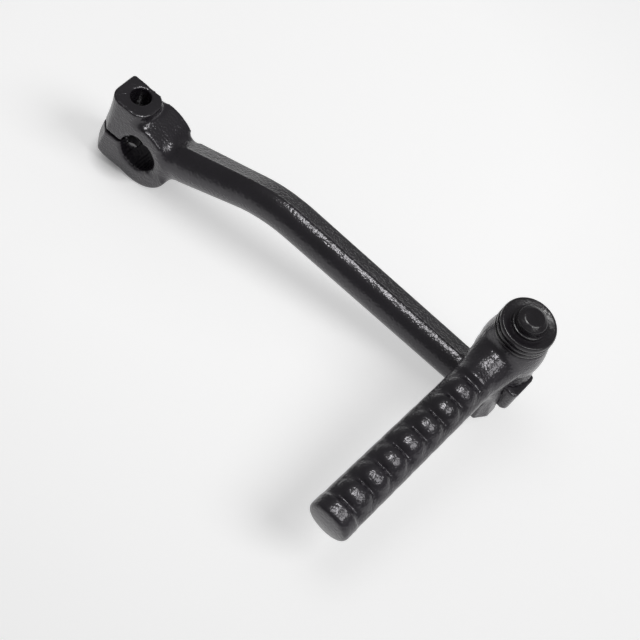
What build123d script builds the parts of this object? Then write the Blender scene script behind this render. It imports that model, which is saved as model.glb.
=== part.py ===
from build123d import *
import math
import os

# Kick start lever with a folding foot pedal. Sizes in mm.
# The origin is the centre of the serrated clamp bore, at mid width.
# Y is the bore's axis, X runs along the arm and Z is up.

# clamp boss and its serrated bore
boss_radius = 16.4
boss_width = 18.6
boss_outboard_chamfer = 0.6
boss_inboard_chamfer = 0.2
bore_major_radius = 9.1
bore_minor_radius = 8.1
bore_teeth = 32
bore_land = 0.4
bore_chamfer_radius = 9.4
bore_chamfer_depth = 0.3

# pinch ears, turned a little about the bore's axis
ear_turn = 8.39
ear_length = 18.4
ear_reach = 19.9
ear_toe = 22.6
ear_corner = 4.2
ear_top = 20.85
ear_ledge_top = 16.3
ear_flare_top = 15.5
ear_flare_low = 1.0
ear_bottom = 15.4
ear_back = 9.3
tower_outboard = 9.3
tower_inboard = 6.6
tower_corner_radius = 6.0
tower_root_radius = 6.0
tower_end_radius = 1.6
ear_foot_radius = 7.5
slot_width = 1.5
bolt_hole_radius = 4.25
bolt_hole_place = 9.1

# bent arm, a round bar with one forged flat
arm_root_x = 12.0
arm_root_z = 1.75
arm_bend_x = 63.4
arm_bend_z = 13.7
arm_end_x = 166.6
arm_end_z = -8.3
arm_bend_radius = 60.0
arm_root_radius = 9.2
arm_bend_bar_radius = 7.9
arm_end_radius = 7.45
arm_flat_turn = 30.0
arm_flat_half_angle = 36.0

# pivot head and pin, leaning towards the arm's end
pivot_x = 171.75
pivot_z = 13.02
pin_lean = 15.8
head_radius = 9.0
head_end = 14.7
stop_outboard = 9.3
stop_inboard = 4.2
head_corner_radius = 2.4
head_depth = 11.6
head_heel_start = 10.0
head_heel_run = 4.0
head_heel_depth = 21.0
pin_radius = 5.75
pin_foot = 22.0
pin_top = 31.9
pin_chamfer_run = 2.0
pin_chamfer_rise = 1.3
running_clearance = 0.05
stop_clearance = 0.05

# folding pedal
eye_height = 20.0
eye_radius = 12.4
eye_foot_radius = 11.9
eye_top_radius = 10.9
eye_rim_round = 1.2
eye_offset = 0.5
eye_inboard = 0.6
flange_height = 3.4
flange_radius = 12.6
flange_flare = 0.9
flange_offset = 1.0
flange_root_back = 10.9
flange_root_front = 12.3
flange_root_place = 3.2
flange_waist = 8.6
flange_waist_place = 12.8
flange_tip = 8.0
flange_tip_place = 22.0
pedal_rise = 10.0
pedal_droop = 9.5
pedal_swing = 1.35
pedal_length = 99.3
pedal_waist_radius = 8.15
groove_first = 24.9
groove_count = 8
knob_length = 8.32
groove_depth = 1.6
groove_half_width = 2.15
pad_half_width = 2.9
pad_offset = 0.95
core_bite = 0.3
core_side = 0.12
pedal_end_radius = 8.95
pedal_end_face_radius = 8.2
pedal_end_round = 1.6
pedal_end_dome = 0.8
neck_root = 2.0
neck_half_width = 11.2
neck_half_height = 6.6
neck_step = 0.25
grip_start = 10.5
lug_outer = 11.6
lug_root = 9.6
lug_inner = 4.0
lug_middle = 15.0
lug_far = 19.8
lug_step = 1.3
lug_corner = 3.2
lug_overlap = 2.5
lug_depth = 13.6

# washers on the pin
washer_radius = 11.05
washer_thickness = 2.75
washer_bore_clearance = 0.35
washer_rim_round = 0.7
washer_dish_radius = 7.5
washer_dish_depth = 0.7
spring_radius = 11.1
spring_inner_radius = 6.7
spring_wire = 1.6
spring_pitch = 2.35
spring_height = 4.7
ring_outer_radius = 6.9
ring_thickness = 1.0
ring_groove_depth = 0.5
ring_gap = 50.0

os.makedirs("parts", exist_ok=True)

pin_frame = Plane(
    origin=(pivot_x, 0, pivot_z),
    x_dir=(math.cos(math.radians(pin_lean)), 0, -math.sin(math.radians(pin_lean))),
    z_dir=(math.sin(math.radians(pin_lean)), 0, math.cos(math.radians(pin_lean))),
)


def in_pin_frame(shape):
    return pin_frame.location * shape


def along_y(sketch, low, high):
    # sketch drawn as (x, z), made solid between two heights on Y
    face = Plane((0, high, 0), x_dir=(1, 0, 0), z_dir=(0, -1, 0)).location * sketch
    return extrude(face, amount=high - low, dir=(0, -1, 0))


def tube(outer, inner, low, high):
    ring = Circle(outer) - Circle(inner)
    return extrude(Pos(0, 0, low) * ring, amount=high - low)


# clamp head
half_width = boss_width / 2
boss = along_y(Circle(boss_radius), -half_width, half_width)
boss_rims = boss.edges().filter_by(GeomType.CIRCLE).sort_by(Axis.Y)
boss = chamfer(boss_rims[0], boss_outboard_chamfer)
boss_rims = boss.edges().filter_by(GeomType.CIRCLE).sort_by(Axis.Y)
boss = chamfer(boss_rims[-1], boss_inboard_chamfer)

# ear frame: local x points to the ear's end, local z is the pinch bolt's axis
ear_frame = Plane(
    origin=(0, 0, 0),
    x_dir=(-math.cos(math.radians(ear_turn)), 0, math.sin(math.radians(ear_turn))),
    z_dir=(math.sin(math.radians(ear_turn)), 0, math.cos(math.radians(ear_turn))),
)


def square_plan(reach, inboard):
    # outline of an ear near the slot, seen down the bolt's axis, with its outboard corner cut off
    return make_face(
        Polyline(
            (reach, inboard),
            (0, inboard),
            (0, -tower_outboard),
            (reach - ear_corner, -tower_outboard),
            (reach, ear_corner - tower_outboard),
            close=True,
        )
    )


def round_plan(inboard):
    # outline of the tower seen down the bolt's axis, with one round corner at its outboard end
    face = make_face(
        Polyline(
            (ear_length, inboard),
            (0, inboard),
            (0, -tower_outboard),
            (ear_length, -tower_outboard),
            close=True,
        )
    )
    outer = face.vertices().sort_by(lambda v: v.X - v.Y)[-1]
    return fillet(outer, tower_corner_radius)


# lower ear, splayed towards its foot
ear_block = loft(
    [
        Pos(0, 0, -ear_bottom) * square_plan(ear_toe, ear_back),
        Pos(0, 0, ear_flare_low) * square_plan(ear_reach, ear_back),
    ],
    ruled=True,
)
ear_side = make_face(
    Polyline(
        (0, -ear_bottom),
        (ear_toe, -ear_bottom),
        (ear_reach, ear_flare_low),
        (0, ear_flare_low),
        close=True,
    )
)
toe = ear_side.vertices().sort_by(lambda v: v.X - v.Y)[-1]
ear_block = ear_block & along_y(fillet(toe, ear_foot_radius), -ear_back, ear_back)
ledge = loft(
    [
        Pos(ear_reach / 2, ear_back / 2) * Rectangle(ear_reach, ear_back),
        Pos(ear_length / 2, ear_back / 2, ear_ledge_top) * Rectangle(ear_length, ear_back),
    ],
    ruled=True,
)
flare = loft(
    [
        Pos(0, 0, ear_flare_low) * square_plan(ear_reach, tower_inboard),
        Pos(0, 0, ear_flare_top) * round_plan(tower_inboard),
    ],
    ruled=True,
)
tower_face = round_plan(tower_inboard)
tower_roots = tower_face.vertices().filter_by(lambda v: v.X < 0.01)
tower_face = fillet(tower_roots, tower_root_radius)
tower_end = tower_face.vertices().sort_by(lambda v: v.X + v.Y)[-1]
tower_face = fillet(tower_end, tower_end_radius)
tower = extrude(tower_face, amount=ear_top)
ears_local = ear_block + ledge + flare + tower
# the ear frame's own y points the other way, so the block is mirrored
ears = ear_frame.location * mirror(ears_local, about=Plane.XZ)

# bent bar: sections square to a line, bend and line path
rise = math.atan2(arm_bend_z - arm_root_z, arm_bend_x - arm_root_x)
fall = math.atan2(arm_end_z - arm_bend_z, arm_end_x - arm_bend_x)
turn = rise - fall
tangent = arm_bend_radius * math.tan(turn / 2)
lead = math.hypot(arm_bend_x - arm_root_x, arm_bend_z - arm_root_z) - tangent
tail = math.hypot(arm_end_x - arm_bend_x, arm_end_z - arm_bend_z) - tangent
arc = arm_bend_radius * turn


def arm_place(run):
    # centre and slope of the bar at a distance along its path
    if run <= lead:
        return arm_root_x + run * math.cos(rise), arm_root_z + run * math.sin(rise), rise
    if run <= lead + arc:
        part = (run - lead) / arm_bend_radius
        slope = rise - part
        x = arm_root_x + lead * math.cos(rise) + arm_bend_radius * (math.sin(rise) - math.sin(slope))
        z = arm_root_z + lead * math.sin(rise) + arm_bend_radius * (math.cos(slope) - math.cos(rise))
        return x, z, slope
    rest = lead + arc + tail - run
    return arm_end_x - rest * math.cos(fall), arm_end_z - rest * math.sin(fall), fall


def arm_section(run, radius):
    x, z, slope = arm_place(run)
    plane = Plane(
        origin=(x, 0, z),
        x_dir=(0, 1, 0),
        z_dir=(math.cos(slope), 0, math.sin(slope)),
    )
    low = math.radians(arm_flat_turn - arm_flat_half_angle)
    high = math.radians(arm_flat_turn + arm_flat_half_angle)
    back = math.radians(arm_flat_turn + 180)
    start = (radius * math.sin(low), radius * math.cos(low))
    end = (radius * math.sin(high), radius * math.cos(high))
    middle = (radius * math.sin(back), radius * math.cos(back))
    outline = ThreePointArc(end, middle, start) + Line(start, end)
    return plane.location * make_face(outline)


bend_start = arm_section(lead, arm_bend_bar_radius)
bend_end = arm_section(lead + arc, arm_bend_bar_radius)
start_x, start_z, start_slope = arm_place(lead)
bend_axis = Axis(
    (start_x + arm_bend_radius * math.sin(rise), 0, start_z - arm_bend_radius * math.cos(rise)),
    (0, 1, 0),
)
first_bar = loft([arm_section(0, arm_root_radius), bend_start], ruled=True)
bend_bar = revolve(bend_start, bend_axis, math.degrees(turn))
second_bar = loft([bend_end, arm_section(lead + arc + tail, arm_end_radius)], ruled=True)
bar = first_bar + bend_bar + second_bar
bar_end = Pos(arm_end_x, 0, arm_end_z) * Sphere(arm_end_radius)

# pivot head: a tongue plan cut by a heel profile
stop_middle = (stop_inboard - stop_outboard) / 2
stop = Pos(head_end / 2, stop_middle) * Rectangle(head_end, stop_inboard + stop_outboard)
stop_corners = stop.vertices().filter_by(lambda v: v.X > head_end - 0.01)
tongue = Circle(head_radius) + fillet(stop_corners, head_corner_radius)
head = extrude(Pos(0, 0, -head_heel_depth - 2) * tongue, amount=head_heel_depth + 2)
heel = Polyline(
    (-head_radius - 1, 0),
    (head_end + 1, 0),
    (head_end + 1, -head_depth),
    (head_heel_start, -head_depth),
    (head_heel_start - head_heel_run, -head_heel_depth),
    (-head_radius - 1, -head_heel_depth),
    close=True,
)
head = head & along_y(make_face(heel), -20, 20)
head = in_pin_frame(head)

lever = boss + ears + bar + bar_end + head

# cuts: serrated bore, rim chamfers, slot, bolt hole and pin hole
tooth = 360 / bore_teeth
groove_spread = math.radians(tooth * (1 - bore_land) / 2)
groove = make_face(
    Polyline(
        (0, 0),
        (bore_minor_radius * math.cos(groove_spread), bore_minor_radius * math.sin(groove_spread)),
        (bore_major_radius, 0),
        (bore_minor_radius * math.cos(groove_spread), -bore_minor_radius * math.sin(groove_spread)),
        close=True,
    )
)
serration_face = Circle(bore_minor_radius)
for i in range(bore_teeth):
    serration_face += Rot(0, 0, i * tooth) * groove
serration = along_y(serration_face, -boss_width, boss_width)
chamfer_profile = Polyline(
    (0, half_width + 0.01),
    (bore_chamfer_radius, half_width + 0.01),
    (bore_chamfer_radius - bore_chamfer_depth, half_width - bore_chamfer_depth),
    (0, half_width - bore_chamfer_depth),
    close=True,
)
rim_cut = revolve(make_face(chamfer_profile), Axis.Y)
rim_cuts = rim_cut + mirror(rim_cut, about=Plane.XZ)
slot = ear_frame.location * (Pos(ear_length, 0, 0) * Box(2 * ear_length - 8, 3 * boss_width, slot_width))
bolt_hole = ear_frame.location * (Pos(bolt_hole_place, 0, 0) * Cylinder(bolt_hole_radius, 80))
pin_hole = in_pin_frame(Pos(0, 0, -pin_foot / 2 + 1) * Cylinder(pin_radius, pin_foot + 2))
lever = lever - serration - rim_cuts - slot - bolt_hole - pin_hole

# pin, with a chamfered end and a groove for the retaining ring
stack_low = eye_height
washer_low = stack_low + spring_height
washer_top = washer_low + washer_thickness
ring_low = washer_top - washer_dish_depth
pin = Pos(0, 0, (pin_top - pin_foot) / 2) * Cylinder(pin_radius, pin_top + pin_foot)
pin = chamfer(pin.edges().sort_by(Axis.Z)[-1], pin_chamfer_rise, pin_chamfer_run)
ring_groove = tube(pin_radius + 1, pin_radius - ring_groove_depth, ring_low, ring_low + ring_thickness)
pin = in_pin_frame(pin - ring_groove)

# dished retaining washer with a rounded rim
washer_inner = pin_radius + washer_bore_clearance
washer_line = (
    Line((washer_inner, washer_low), (washer_radius - 0.5, washer_low))
    + ThreePointArc(
        (washer_radius - 0.5, washer_low),
        (washer_radius, washer_low + washer_thickness * 0.5),
        (washer_radius - washer_rim_round, washer_top),
    )
    + Line((washer_radius - washer_rim_round, washer_top), (washer_dish_radius, ring_low))
    + Line((washer_dish_radius, ring_low), (washer_inner, ring_low))
    + Line((washer_inner, ring_low), (washer_inner, washer_low))
)
washer = revolve(Plane.XZ.location * make_face(washer_line), Axis.Z)
washer = in_pin_frame(washer)

# open ring snapped into the pin's groove
ring = tube(ring_outer_radius, pin_radius - ring_groove_depth, ring_low, ring_low + ring_thickness)
gap_cut = Pos(0, 10, ring_low) * Box(2 * ring_outer_radius * math.sin(math.radians(ring_gap / 2)), 20, 4)
ring = in_pin_frame(ring - gap_cut)

# coiled spring washer with ends ground flat
coil_middle = (spring_radius + spring_inner_radius) / 2
coil_path = Helix(pitch=spring_pitch, height=spring_height + spring_pitch, radius=coil_middle)
coil_section = Plane(origin=coil_path @ 0, x_dir=(1, 0, 0), z_dir=coil_path % 0).location * Rectangle(
    spring_radius - spring_inner_radius, spring_wire
)
coil = sweep(coil_section, path=coil_path, is_frenet=True)
coil = Pos(0, 0, stack_low - spring_pitch / 2) * coil
slab = Pos(0, 0, stack_low + spring_height / 2) * Box(40, 40, spring_height)
coil = in_pin_frame(Rot(0, 0, -100) * (coil & slab))

# foot pedal: eye, flange, neck, ribbed peg and stop lug
eye_line = (
    Line((0, 0), (eye_foot_radius, 0))
    + Line((eye_foot_radius, 0), (eye_foot_radius, flange_height))
    + ThreePointArc(
        (eye_foot_radius, flange_height),
        (eye_radius, eye_height * 0.5),
        (eye_top_radius, eye_height - eye_rim_round),
    )
    + ThreePointArc(
        (eye_top_radius, eye_height - eye_rim_round),
        (eye_top_radius - eye_rim_round * 0.293, eye_height - eye_rim_round * 0.293),
        (eye_top_radius - eye_rim_round, eye_height),
    )
    + Line((eye_top_radius - eye_rim_round, eye_height), (0, eye_height))
    + Line((0, eye_height), (0, 0))
)
eye = revolve(Plane.XZ.location * make_face(eye_line), Axis.Z)
eye = Pos(eye_offset, eye_inboard, 0) * eye


def flange_tail(inset):
    # plan of the flange where it narrows from the eye to the peg
    return make_face(
        Polyline(
            (inset - flange_root_back, -flange_root_place),
            (flange_root_front - inset, -flange_root_place),
            (flange_waist - inset, -flange_waist_place),
            (flange_tip - inset, -flange_tip_place),
            (inset - flange_tip, -flange_tip_place),
            (inset - flange_waist, -flange_waist_place),
            close=True,
        )
    )


flange_round = Pos(flange_offset, eye_inboard, flange_height / 2) * Cone(
    flange_radius, flange_radius - flange_flare, flange_height
)
flange_top = Pos(0, 0, flange_height) * flange_tail(flange_flare)
flange = flange_round + loft([flange_tail(0), flange_top], ruled=True)

droop = math.radians(pedal_droop)
swing = math.radians(pedal_swing)
peg_axis = Vector(-math.sin(swing), -math.cos(swing) * math.cos(droop), -math.sin(droop))
peg_frame = Plane(origin=(0, 0, pedal_rise), x_dir=(1, -math.tan(swing), 0), z_dir=peg_axis)
groove_pitch = (pedal_length - knob_length - groove_first) / (groove_count - 1)
pad_first = groove_first + groove_half_width
edge_round = pedal_length - pedal_end_round
dome_radius = (pedal_end_face_radius**2 + pedal_end_dome**2) / (2 * pedal_end_dome)
dome_middle = math.sqrt(dome_radius**2 - pedal_end_face_radius**2 / 4) - dome_radius + pedal_end_dome


def peg_radius(run):
    # the grip swells evenly from its waist to its end
    share = (run - pad_first) / (edge_round - pad_first)
    return pedal_waist_radius + (pedal_end_radius - pedal_waist_radius) * max(share, 0)


# round shoulder where the neck ends, and the knob at the peg's free end
first_floor = peg_radius(groove_first) - groove_depth - core_bite
shoulder_line = Polyline(
    (0, grip_start),
    (pedal_waist_radius, grip_start),
    (pedal_waist_radius, groove_first - groove_half_width),
    (first_floor, groove_first),
    (0, groove_first),
    close=True,
)
shoulder = revolve(Plane.XZ.location * make_face(shoulder_line), Axis.Z)
groove_last = groove_first + (groove_count - 1) * groove_pitch
last_floor = peg_radius(groove_last) - groove_depth - core_bite
knob_lip = (peg_radius(groove_last + groove_half_width), groove_last + groove_half_width)
knob_line = (
    Line((0, groove_last), (last_floor, groove_last))
    + Line((last_floor, groove_last), knob_lip)
    + Line(knob_lip, (pedal_end_radius, edge_round))
    + ThreePointArc(
        (pedal_end_radius, edge_round),
        (pedal_end_radius - pedal_end_round * 0.16, pedal_length - pedal_end_round * 0.44),
        (pedal_end_face_radius, pedal_length),
    )
    + ThreePointArc(
        (pedal_end_face_radius, pedal_length),
        (pedal_end_face_radius / 2, pedal_length + dome_middle),
        (0, pedal_length + pedal_end_dome),
    )
    + Line((0, pedal_length + pedal_end_dome), (0, groove_last))
)
knob = revolve(Plane.XZ.location * make_face(knob_line), Axis.Z)


def pad(run):
    # lens-shaped raised pad: a disc with a round rim, set off the peg's axis so that it fades at the sides
    rim = peg_radius(run) - pad_offset
    lens_line = (
        Line((0, run - pad_half_width), (rim - groove_depth, run - pad_half_width))
        + ThreePointArc(
            (rim - groove_depth, run - pad_half_width),
            (rim, run),
            (rim - groove_depth, run + pad_half_width),
        )
        + Line((rim - groove_depth, run + pad_half_width), (0, run + pad_half_width))
        + Line((0, run + pad_half_width), (0, run - pad_half_width))
    )
    lens = revolve(Plane.XZ.location * make_face(lens_line), Axis.Z)
    return Pos(0, pad_offset, 0) * lens + Pos(0, -pad_offset, 0) * lens


def core_section(run):
    # nearly full width at the parting line on both sides, sunk above and below it
    radius = peg_radius(run)
    return Pos(0, 0, run) * Ellipse(radius - core_side, radius - groove_depth)


# the oval core makes the pads fade out at the sides, as they leave a forging die
grip = loft([core_section(groove_first - groove_pitch / 2), core_section(edge_round - 4)], ruled=True)
grip = grip + shoulder + knob
for i in range(groove_count - 1):
    grip = grip + pad(groove_first + (i + 0.5) * groove_pitch)
peg = peg_frame.location * grip

neck_start = peg_frame.location * (Pos(0, 0, neck_root) * Ellipse(neck_half_width, neck_half_height))
neck_last = Pos(0, 0, groove_first - groove_half_width) * Circle(pedal_waist_radius - neck_step)
neck_end = peg_frame.location * neck_last
neck = loft([neck_start, neck_end])

lug_near = stop_outboard + stop_clearance
lug_top = make_face(
    Polyline(
        (lug_inner, -lug_near),
        (lug_root, -lug_near),
        (lug_root - lug_step, -lug_middle),
        (lug_root - 2 * lug_step, -lug_far),
        (lug_inner, -lug_far),
        close=True,
    )
)
lug_foot = make_face(
    Polyline(
        (lug_inner, -lug_near),
        (lug_outer, -lug_near),
        (lug_outer, -lug_middle),
        (lug_outer - lug_corner, -lug_far),
        (lug_inner, -lug_far),
        close=True,
    )
)
lug = loft([Pos(0, 0, -lug_depth) * lug_foot, lug_top], ruled=True)
lug = lug + extrude(lug_top, amount=lug_overlap)

eye_bore = Pos(0, 0, eye_height / 2) * Cylinder(pin_radius + running_clearance, 2 * eye_height)
below = Pos(0, pedal_length / 2 - lug_near, -pedal_length / 2) * Box(pedal_length, pedal_length, pedal_length)
pedal = eye + flange + neck - eye_bore - below + peg + lug
pedal = in_pin_frame(pedal)

export_step(lever, "parts/lever_arm.step")
export_step(pedal, "parts/foot_pedal.step")
export_step(pin, "parts/pivot_pin.step")
export_step(washer, "parts/retaining_washer.step")
export_step(coil, "parts/spring_washer.step")
export_step(ring, "parts/retaining_ring.step")
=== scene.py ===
import math

import bmesh
import bpy
from mathutils import Matrix, Vector


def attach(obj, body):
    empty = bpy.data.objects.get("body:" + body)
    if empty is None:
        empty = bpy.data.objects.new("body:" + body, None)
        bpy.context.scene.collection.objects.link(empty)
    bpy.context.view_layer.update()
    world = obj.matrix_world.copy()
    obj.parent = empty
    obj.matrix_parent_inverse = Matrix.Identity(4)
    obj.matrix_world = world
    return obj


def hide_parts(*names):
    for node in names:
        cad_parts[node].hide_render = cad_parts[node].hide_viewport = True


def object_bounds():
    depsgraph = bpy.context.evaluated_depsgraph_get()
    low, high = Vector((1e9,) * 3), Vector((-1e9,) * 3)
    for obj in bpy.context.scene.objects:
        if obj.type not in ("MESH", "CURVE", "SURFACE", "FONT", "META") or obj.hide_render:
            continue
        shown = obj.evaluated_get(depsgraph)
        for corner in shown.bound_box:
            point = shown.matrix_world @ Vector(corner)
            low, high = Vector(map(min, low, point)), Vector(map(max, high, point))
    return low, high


bl_info = {
    "name": "Kick start lever",
    "version": (1, 0, 0),
    "blender": (4, 5, 0),
    "location": "View3D > Sidebar > Kick lever",
    "description": "Dresses the forged kick start lever and sets its stage",
    "category": "Object",
}

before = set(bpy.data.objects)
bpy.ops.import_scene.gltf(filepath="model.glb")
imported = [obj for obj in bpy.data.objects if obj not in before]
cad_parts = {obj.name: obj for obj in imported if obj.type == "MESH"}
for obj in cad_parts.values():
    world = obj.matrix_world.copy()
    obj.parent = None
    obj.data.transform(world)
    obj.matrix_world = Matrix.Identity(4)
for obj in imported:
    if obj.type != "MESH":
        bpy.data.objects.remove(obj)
cad_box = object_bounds()
floor_height = cad_box[0].z

# the clamp's serrated bore, which keeps its edges
bore_reach = 0.0096
bore_half_length = 0.0098

# the bar of the arm: its slope before and after the bend, and a point on each middle line
arm_rise = math.radians(13.09)
arm_fall = math.radians(-12.03)
rise_x, rise_z = 0.012, 0.00175
fall_x, fall_z = 0.1666, -0.0083
bar_first, bar_last = 0.014, 0.163
bend_first, bend_length = 0.0503, 0.0262

# the flat along the bar: which way it faces, how far it is turned, and where the turn fades out
flat_side, flat_up = 0.5, 0.866
flat_lean = math.tan(math.radians(5.0))
flat_edge, flat_blend = 0.9, 0.08

# the peg of the pedal: its line, its neck, and the grooves between its pads
peg_root = Vector((0.174473, 0.0, 0.022642))
peg_axis = Vector((-0.06761, -0.98601, -0.15239))
pin_axis = Vector((0.27228, 0.0, 0.962218))
neck_first, neck_hollow = 0.0105, 0.0007
groove_first, groove_pitch, groove_count = 0.0249, 0.00944, 8
pad_spread = 0.0013
valley_depth, valley_side_share = 0.0004, 0.25
grip_first, grip_last = -0.0215, -0.0935

# a corner counts as hollow when its neighbours lie this far out along its normal
hollow_share = 0.04

# how far the finish's roughness wanders over a surface
rough_spread = 0.16

# the table, the middle of its painted glow, and the middle of the painted shadow under the clamp's
# ears
table_half, table_middle_x, table_gap = 4.0, 0.1, 0.0001
glow_middle = (0.02, 0.05, floor_height)
ear_shadow_middle = (-0.0125, 0.0, floor_height)

# the point that the lamps face, and the camera's place and directions
lamp_aim = Vector((0.09, -0.02, 0.0))
camera_place = (0.36153, -0.44619, 0.61526)
camera_right = Vector((0.77716, 0.62063, 0.10407)).normalized()
camera_back = Vector((0.32316, -0.53552, 0.78025)).normalized()


class PaintSettings(bpy.types.PropertyGroup):
    """Black paint on the two forgings."""

    colour: bpy.props.FloatVectorProperty(
        name="Paint colour", description="Colour of the black paint", subtype="COLOR",
        size=3, min=0.0, max=1.0, default=(0.0092, 0.0075, 0.0108))
    roughness: bpy.props.FloatProperty(
        name="Roughness", description="Roughness of the paint between its grains",
        subtype="FACTOR", min=0.0, max=1.0, default=0.2)
    grain: bpy.props.FloatProperty(
        name="Grain size", description="Size of the paint's fine orange peel",
        unit="LENGTH", min=0.0002, max=0.01, default=0.001)
    grain_depth: bpy.props.FloatProperty(
        name="Grain depth", description="Height of the fine orange peel",
        unit="LENGTH", min=0.0, max=0.001, default=0.00021)
    arm_voxel: bpy.props.FloatProperty(
        name="Arm skin step", description="Step of the softened skin over the arm",
        unit="LENGTH", min=0.0002, max=0.002, default=0.00048)
    arm_soften: bpy.props.IntProperty(
        name="Arm softening", description="Passes that round the arm's forged edges",
        min=0, max=60, default=5)
    pedal_voxel: bpy.props.FloatProperty(
        name="Pedal skin step", description="Step of the softened skin over the pedal",
        unit="LENGTH", min=0.0002, max=0.002, default=0.0004)
    pedal_soften: bpy.props.IntProperty(
        name="Pedal softening", description="Passes that round the pedal's forged edges",
        min=0, max=60, default=7)


class HardwareSettings(bpy.types.PropertyGroup):
    """Smoother black finish on the pin, washers and ring."""

    colour: bpy.props.FloatVectorProperty(
        name="Hardware colour", description="Colour of the pin and washers", subtype="COLOR",
        size=3, min=0.0, max=1.0, default=(0.0115, 0.0098, 0.0122))
    roughness: bpy.props.FloatProperty(
        name="Roughness", description="Roughness of the pin and washers",
        subtype="FACTOR", min=0.0, max=1.0, default=0.23)
    voxel: bpy.props.FloatProperty(
        name="Skin step", description="Step of the softened skin over the pin and washers",
        unit="LENGTH", min=0.0001, max=0.002, default=0.0002)
    soften: bpy.props.IntProperty(
        name="Softening", description="Passes that round the edges of the pin and washers",
        min=0, max=60, default=10)


class StageSettings(bpy.types.PropertyGroup):
    """White table, lamps and camera."""

    floor_colour: bpy.props.FloatVectorProperty(
        name="Table colour", description="Colour of the table", subtype="COLOR",
        size=3, min=0.0, max=1.0, default=(0.86, 0.86, 0.86))
    # painted light: the table glows with no lamp behind it, which lightens the shadows round the
    # lever
    painted_table_glow: bpy.props.FloatProperty(
        name="Table glow", description="Light that comes through the table from below",
        min=0.0, max=2.0, default=0.47)
    key_power: bpy.props.FloatProperty(
        name="Key lamp", description="Power of the small lamp that draws the highlights",
        unit="POWER", min=0.0, default=9.0)
    soft_power: bpy.props.FloatProperty(
        name="Soft lamp", description="Power of the broad lamp beyond the pivot",
        unit="POWER", min=0.0, default=7.9)
    top_power: bpy.props.FloatProperty(
        name="Top lamp", description="Power of the broad lamp overhead that shades the table",
        unit="POWER", min=0.0, default=1.8)
    back_power: bpy.props.FloatProperty(
        name="Back lamp", description="Power of the low broad lamp behind the arm",
        unit="POWER", min=0.0, default=0.4)
    fill: bpy.props.FloatProperty(
        name="Room light", description="Strength of the even light from all round",
        min=0.0, default=0.22)
    lens: bpy.props.FloatProperty(
        name="Lens", description="Focal length of the camera on a 36 mm sensor",
        unit="CAMERA", min=10.0, max=500.0, default=117.25)


class LeverSettings(bpy.types.PropertyGroup):
    """Everything a user would change."""

    paint: bpy.props.PointerProperty(
        name="Paint", description="Finish and skin of the forgings", type=PaintSettings)
    hardware: bpy.props.PointerProperty(
        name="Hardware", description="Finish and skin of the pin and washers",
        type=HardwareSettings)
    stage: bpy.props.PointerProperty(
        name="Stage", description="Table, lamps and camera", type=StageSettings)


class Wire:
    """A socket of a node tree that takes part in sums."""

    def __init__(self, tree, socket=None):
        self.tree = tree
        self.socket = socket

    def node(self, kind, settings=None, sockets=None, output=0):
        made = self.tree.nodes.new(kind)
        for name, value in (settings or {}).items():
            setattr(made, name, value)
        for name, value in (sockets or {}).items():
            if isinstance(value, Wire):
                self.tree.links.new(value.socket, made.inputs[name])
            else:
                made.inputs[name].default_value = value
        return Wire(self.tree, made.outputs[output] if made.outputs else None)

    def math(self, operation, *values):
        return self.node("ShaderNodeMath", {"operation": operation}, dict(enumerate(values)))

    def __add__(self, other):
        return self.math("ADD", self, other)

    __radd__ = __add__

    def __sub__(self, other):
        return self.math("SUBTRACT", self, other)

    def __rsub__(self, other):
        return self.math("SUBTRACT", other, self)

    def __mul__(self, other):
        return self.math("MULTIPLY", self, other)

    __rmul__ = __mul__

    def clamp(self, low, high):
        return self.node("ShaderNodeMapRange", {"clamp": True}, {
            "Value": self, "From Min": low, "From Max": high})


def new_material(name):
    """An empty material and a wire on its node tree."""
    material = bpy.data.materials.new(name)
    material.use_nodes = True
    material.node_tree.nodes.clear()
    return material, Wire(material.node_tree)


def noise(wire, place, scale, detail, rough):
    return wire.node("ShaderNodeTexNoise", None, {
        "Vector": place, "Scale": scale, "Detail": detail, "Roughness": rough})


def two_tone(wire, share, colour, gain):
    """A colour that turns lighter by a gain where the share is high."""
    lighter = [min(1.0, c * gain) for c in colour]
    return wire.node("ShaderNodeMix", {"data_type": "RGBA"}, {
        0: share, 6: (*colour, 1.0), 7: (*lighter, 1.0)}, output=2)


def distance_from(wire, place, middle):
    return wire.node(
        "ShaderNodeVectorMath", {"operation": "DISTANCE"}, {0: place, 1: middle}, output=1)


def forged_paint(settings):
    """Black paint with a fine orange peel over a forged skin."""
    material, wire = new_material("forged_black_paint")
    place = wire.node("ShaderNodeTexCoord", output=3)
    grain_scale = 1.0 / settings.grain
    skin_scale = grain_scale * 0.22
    peel = noise(wire, place, grain_scale, detail=1.0, rough=0.5)
    skin = noise(wire, place, skin_scale, detail=3.0, rough=0.55)
    patch = noise(wire, place, 60.0, detail=3.0, rough=0.6)
    bump = wire.node("ShaderNodeBump", None, {
        "Height": peel + skin * 0.5, "Strength": 1.0, "Distance": settings.grain_depth})
    shader = wire.node("ShaderNodeBsdfPrincipled", None, {
        "Base Color": two_tone(wire, patch.clamp(0.35, 0.7), settings.colour, gain=1.7),
        "Roughness": settings.roughness + (patch - 0.5) * rough_spread,
        "Normal": bump, "Specular IOR Level": 0.53,
        "Specular Tint": (0.98, 0.955, 1.0, 1.0), "Coat Weight": 0.3, "Coat Roughness": 0.45})
    wire.node("ShaderNodeOutputMaterial", None, {"Surface": shader})
    return material


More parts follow.
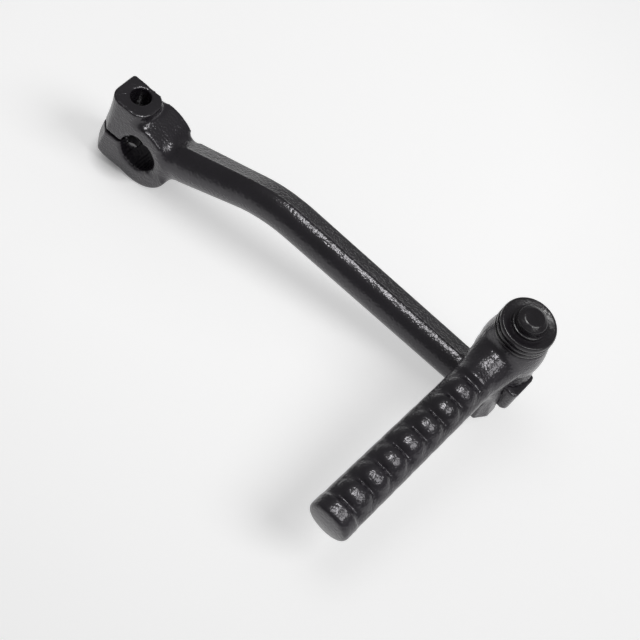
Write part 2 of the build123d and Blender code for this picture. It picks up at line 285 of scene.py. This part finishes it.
def smooth_hardware(settings):
    """Smoother black finish with a faint grain."""
    material, wire = new_material("smooth_black_hardware")
    place = wire.node("ShaderNodeTexCoord", output=3)
    fine = noise(wire, place, 700.0, detail=3.0, rough=0.6)
    patch = noise(wire, place, 130.0, detail=2.0, rough=0.5)
    bump = wire.node("ShaderNodeBump", None, {
        "Height": fine, "Strength": 1.0, "Distance": 0.00013})
    shader = wire.node("ShaderNodeBsdfPrincipled", None, {
        "Base Color": two_tone(wire, patch.clamp(0.3, 0.7), settings.colour, gain=1.6),
        "Roughness": settings.roughness + (patch - 0.5) * rough_spread,
        "Normal": bump})
    wire.node("ShaderNodeOutputMaterial", None, {"Surface": shader})
    return material


def table_surface(settings):
    """White table with a painted glow round the lever that fades outwards and lightens the
    shadows, and a painted shadow under the clamp's ears where the glow dies.
    """
    material, wire = new_material("white_table")
    place = wire.node("ShaderNodeTexCoord", output=3)
    patch = noise(wire, place, 9.0, detail=3.0, rough=0.5)
    # painted light: the table's glow is brightest round the lever and fades outwards
    painted_glow_pool = 1.0 - distance_from(wire, place, glow_middle).clamp(0.12, 0.85)
    # painted shadow: the glow dies round the point under the clamp's ears, where the ears shade
    # the table
    painted_ear_shadow = distance_from(wire, place, ear_shadow_middle).clamp(0.005, 0.016)
    shader = wire.node("ShaderNodeBsdfPrincipled", None, {
        "Base Color": two_tone(wire, patch.clamp(0.3, 0.7), settings.floor_colour, gain=1.012),
        "Roughness": 0.75, "Specular IOR Level": 0.15,
        "Emission Color": painted_glow_pool * painted_ear_shadow, "Emission Strength": settings.painted_table_glow})
    wire.node("ShaderNodeOutputMaterial", None, {"Surface": shader})
    return material


def material_for(name, maker, settings):
    """The material of that name, made on first use."""
    return bpy.data.materials.get(name) or maker(settings)


def smooth(work, verts, passes):
    for step in range(passes):
        bmesh.ops.smooth_vert(
            work, verts=verts, factor=0.5, use_axis_x=True, use_axis_y=True, use_axis_z=True)
    work.normal_update()


def fill_corners(work, inside, passes):
    """Rounds the hollow corners of a skin inside one zone, as a forging die leaves them."""
    hollow = set()
    for vert in work.verts:
        if inside(vert.co):
            pull = Vector()
            reach = 0.0
            for edge in vert.link_edges:
                step = edge.other_vert(vert).co - vert.co
                pull += step
                reach += step.length
            if pull.dot(vert.normal) > hollow_share * reach:
                hollow.add(vert)
    for ring in range(int(passes ** 0.5)):
        hollow |= {edge.other_vert(vert) for vert in hollow for edge in vert.link_edges}
    smooth(work, list(hollow), passes)


def softened_copy(node, name, voxel, soften, reshape=None, keep_sharp=None, zones=()):
    """A copy of a CAD node with a finely stepped skin, rounded edges and filled hollow corners."""
    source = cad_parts[node].data.copy()
    work = bmesh.new()
    work.from_mesh(source)
    bmesh.ops.remove_doubles(work, verts=work.verts, dist=1e-6)
    work.to_mesh(source)
    work.free()
    piece = bpy.data.objects.new(name, source)
    bpy.context.scene.collection.objects.link(piece)
    remesh = piece.modifiers.new("skin", "REMESH")
    remesh.mode = "VOXEL"
    remesh.voxel_size = voxel
    remesh.use_smooth_shade = True
    graph = bpy.context.evaluated_depsgraph_get()
    skin = bpy.data.meshes.new_from_object(piece.evaluated_get(graph))
    piece.modifiers.clear()
    piece.data = skin
    bpy.data.meshes.remove(source)
    work = bmesh.new()
    work.from_mesh(skin)
    if reshape:
        reshape(work)
    smooth(work, [v for v in work.verts if keep_sharp is None or not keep_sharp(v.co)], soften)
    for inside, passes in zones:
        fill_corners(work, inside, passes)
    for face in work.faces:
        face.smooth = True
    work.to_mesh(skin)
    work.free()
    skin.name = name
    return piece


def paint_over(piece, material):
    piece.data.materials.clear()
    piece.data.materials.append(material)


def ramp(value, first, length):
    """0 before first, 1 after first + length, and even in between."""
    return min(max((value - first) / length, 0.0), 1.0)


def turn_flat(work):
    """Leans the flat along the bar a few degrees further over."""
    work.normal_update()
    side = Vector((0.0, 1.0, 0.0))
    for vert in work.verts:
        x = vert.co.x
        if bar_first < x < bar_last:
            slope = arm_rise + (arm_fall - arm_rise) * ramp(x, bend_first, bend_length)
            up = Vector((-math.sin(slope), 0.0, math.cos(slope)))
            rising = rise_z + (x - rise_x) * math.tan(arm_rise)
            falling = fall_z + (x - fall_x) * math.tan(arm_fall)
            middle = Vector((x, 0.0, min(rising, falling)))
            face = side * flat_side + up * flat_up
            across = up * flat_side - side * flat_up
            share = ramp(vert.normal.dot(face), flat_edge, flat_blend)
            vert.co -= face * ((vert.co - middle).dot(across) * flat_lean * share)


def shape_peg(work):
    """Spreads the pads' crowns along the peg, deepens the valleys and hollows the neck."""
    crown = (pin_axis - peg_axis * pin_axis.dot(peg_axis)).normalized()
    quarter_turn = 0.5 * math.pi
    last_turn = 2.0 * math.pi * (groove_count - 1)
    for vert in work.verts:
        reach = vert.co - peg_root
        run = reach.dot(peg_axis)
        outward = (reach - peg_axis * run).normalized()
        lift = outward.dot(crown)
        turn = 2.0 * math.pi * (run - groove_first) / groove_pitch
        if -quarter_turn < turn < last_turn + quarter_turn:
            share = valley_side_share + (1.0 - valley_side_share) * lift * lift
            vert.co -= outward * (valley_depth * share * max(math.cos(turn), 0.0) ** 2)
        if 0.0 < turn < last_turn:
            vert.co -= peg_axis * (pad_spread * lift * lift * math.sin(turn))
        if neck_first < run < groove_first and lift > 0.0:
            share = math.sin(math.pi * (run - neck_first) / (groove_first - neck_first)) ** 2
            vert.co -= outward * (neck_hollow * lift * lift * share)


def in_bore(point):
    """True on the serrated wall of the clamp."""
    return (point.x * point.x + point.z * point.z < bore_reach ** 2
            and abs(point.y) < bore_half_length)


def on_grip(point):
    """True along the pads of the peg."""
    return grip_last < point.y < grip_first


def near(x, y, z, radius):
    """A ball-shaped zone."""
    middle = Vector((x, y, z))
    return lambda point: (point - middle).length < radius


# zones with hollow corners and the passes that round them
arm_corners = (
    (near(0.016, 0.0, 0.003, 0.0135), 118),
    (near(0.001, 0.0, 0.0165, 0.0115), 69),
    (near(0.166, 0.0, -0.002, 0.016), 35),
)
pedal_corners = (
    (near(0.1735, -0.004, 0.0225, 0.0205), 110),
    (on_grip, 6),
)


class KICKLEVER_OT_lever_arm(bpy.types.Operator):
    """Forged arm with its split clamp and pivot head"""

    bl_idname = "kicklever.lever_arm"
    bl_label = "Lever arm"

    def execute(self, context):
        settings = context.scene.kick_lever.paint
        piece = softened_copy(
            "lever_arm", "forged_lever_arm", settings.arm_voxel, settings.arm_soften,
            turn_flat, in_bore, arm_corners)
        paint_over(piece, material_for("forged_black_paint", forged_paint, settings))
        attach(piece, "lever")
        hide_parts("lever_arm")
        return {"FINISHED"}


class KICKLEVER_OT_foot_pedal(bpy.types.Operator):
    """Forged folding pedal with its ribbed grip"""

    bl_idname = "kicklever.foot_pedal"
    bl_label = "Foot pedal"

    def execute(self, context):
        settings = context.scene.kick_lever.paint
        piece = softened_copy(
            "foot_pedal", "forged_foot_pedal", settings.pedal_voxel, settings.pedal_soften,
            shape_peg, None, pedal_corners)
        paint_over(piece, material_for("forged_black_paint", forged_paint, settings))
        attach(piece, "pedal")
        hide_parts("foot_pedal")
        return {"FINISHED"}


class KICKLEVER_OT_pivot_hardware(bpy.types.Operator):
    """Pin, washers and ring on the pedal's pivot"""

    bl_idname = "kicklever.pivot_hardware"
    bl_label = "Pivot hardware"

    def execute(self, context):
        settings = context.scene.kick_lever.hardware
        material = material_for("smooth_black_hardware", smooth_hardware, settings)
        for node in ("pivot_pin", "retaining_washer", "spring_washer", "retaining_ring"):
            piece = softened_copy(node, "black_" + node, settings.voxel, settings.soften)
            paint_over(piece, material)
            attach(piece, "lever")
            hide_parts(node)
        return {"FINISHED"}


def area_lamp(name, towards, distance, size, power):
    """A round lamp that faces the lever from one direction."""
    away = Vector(towards).normalized()
    lamp = bpy.data.lights.new(name, "AREA")
    lamp.shape = "DISK"
    lamp.size = size
    lamp.energy = power
    holder = bpy.data.objects.new(name, lamp)
    holder.location = lamp_aim + away * distance
    holder.rotation_mode = "QUATERNION"
    holder.rotation_quaternion = away.to_track_quat("Z", "Y")
    bpy.context.scene.collection.objects.link(holder)
    return holder


class KICKLEVER_OT_stage(bpy.types.Operator):
    """White table, lamps and camera"""

    bl_idname = "kicklever.stage"
    bl_label = "Stage"

    def execute(self, context):
        settings = context.scene.kick_lever.stage
        sheet = bpy.data.meshes.new("white_table")
        work = bmesh.new()
        bmesh.ops.create_grid(work, x_segments=1, y_segments=1, size=table_half)
        bmesh.ops.translate(
            work, verts=work.verts, vec=(table_middle_x, 0.0, floor_height - table_gap))
        work.to_mesh(sheet)
        work.free()
        table = bpy.data.objects.new("white_table", sheet)
        context.scene.collection.objects.link(table)
        sheet.materials.append(table_surface(settings))

        # the key lamp only draws highlights, and the top lamp only lights the table
        key = area_lamp(
            "key_lamp", towards=(0.1, 0.02, 0.995), distance=1.3, size=0.5,
            power=settings.key_power)
        key.visible_diffuse = False
        area_lamp(
            "soft_lamp", towards=(0.7, 0.06, 0.71), distance=1.5, size=0.75,
            power=settings.soft_power)
        top = area_lamp(
            "top_lamp", towards=(-0.15, 0.15, 0.97), distance=1.5, size=0.9,
            power=settings.top_power)
        top.visible_glossy = False
        area_lamp(
            "back_lamp", towards=(-0.75, 0.63, 0.15), distance=1.5, size=0.7,
            power=settings.back_power)

        world = bpy.data.worlds.new("studio_room")
        world.use_nodes = True
        ground = world.node_tree.nodes["Background"]
        ground.inputs["Color"].default_value = (1.0, 1.0, 1.0, 1.0)
        ground.inputs["Strength"].default_value = settings.fill
        context.scene.world = world

        lens = bpy.data.cameras.new("camera")
        lens.sensor_width = 36.0
        lens.lens = settings.lens
        lens.clip_start = 0.01
        lens.clip_end = 50.0
        camera = bpy.data.objects.new("camera", lens)
        camera_up = camera_back.cross(camera_right)
        turn = Matrix((camera_right, camera_up, camera_back)).transposed().to_4x4()
        camera.matrix_world = Matrix.Translation(camera_place) @ turn
        context.scene.collection.objects.link(camera)
        context.scene.camera = camera
        context.scene.view_settings.view_transform = "Standard"
        return {"FINISHED"}


class KICKLEVER_PT_sidebar(bpy.types.Panel):
    """Pieces of the kick start lever and its stage"""

    bl_idname = "KICKLEVER_PT_sidebar"
    bl_label = "Kick start lever"
    bl_space_type = "VIEW_3D"
    bl_region_type = "UI"
    bl_category = "Kick lever"

    def draw(self, context):
        layout = self.layout
        settings = context.scene.kick_lever
        for group in (settings.paint, settings.hardware, settings.stage):
            box = layout.box()
            for name in group.__annotations__:
                box.prop(group, name)
        for operator in operators:
            layout.operator(operator.bl_idname)


operators = (
    KICKLEVER_OT_lever_arm,
    KICKLEVER_OT_foot_pedal,
    KICKLEVER_OT_pivot_hardware,
    KICKLEVER_OT_stage,
)
classes = (
    PaintSettings, HardwareSettings, StageSettings, LeverSettings, *operators,
    KICKLEVER_PT_sidebar,
)


def register():
    for item in classes:
        bpy.utils.register_class(item)
    bpy.types.Scene.kick_lever = bpy.props.PointerProperty(type=LeverSettings)


def unregister():
    del bpy.types.Scene.kick_lever
    for item in reversed(classes):
        bpy.utils.unregister_class(item)


def main():
    register()
    bpy.ops.kicklever.lever_arm()
    bpy.ops.kicklever.foot_pedal()
    bpy.ops.kicklever.pivot_hardware()
    bpy.ops.kicklever.stage()
    bpy.context.view_layer.update()


if __name__ == "__main__":
    main()
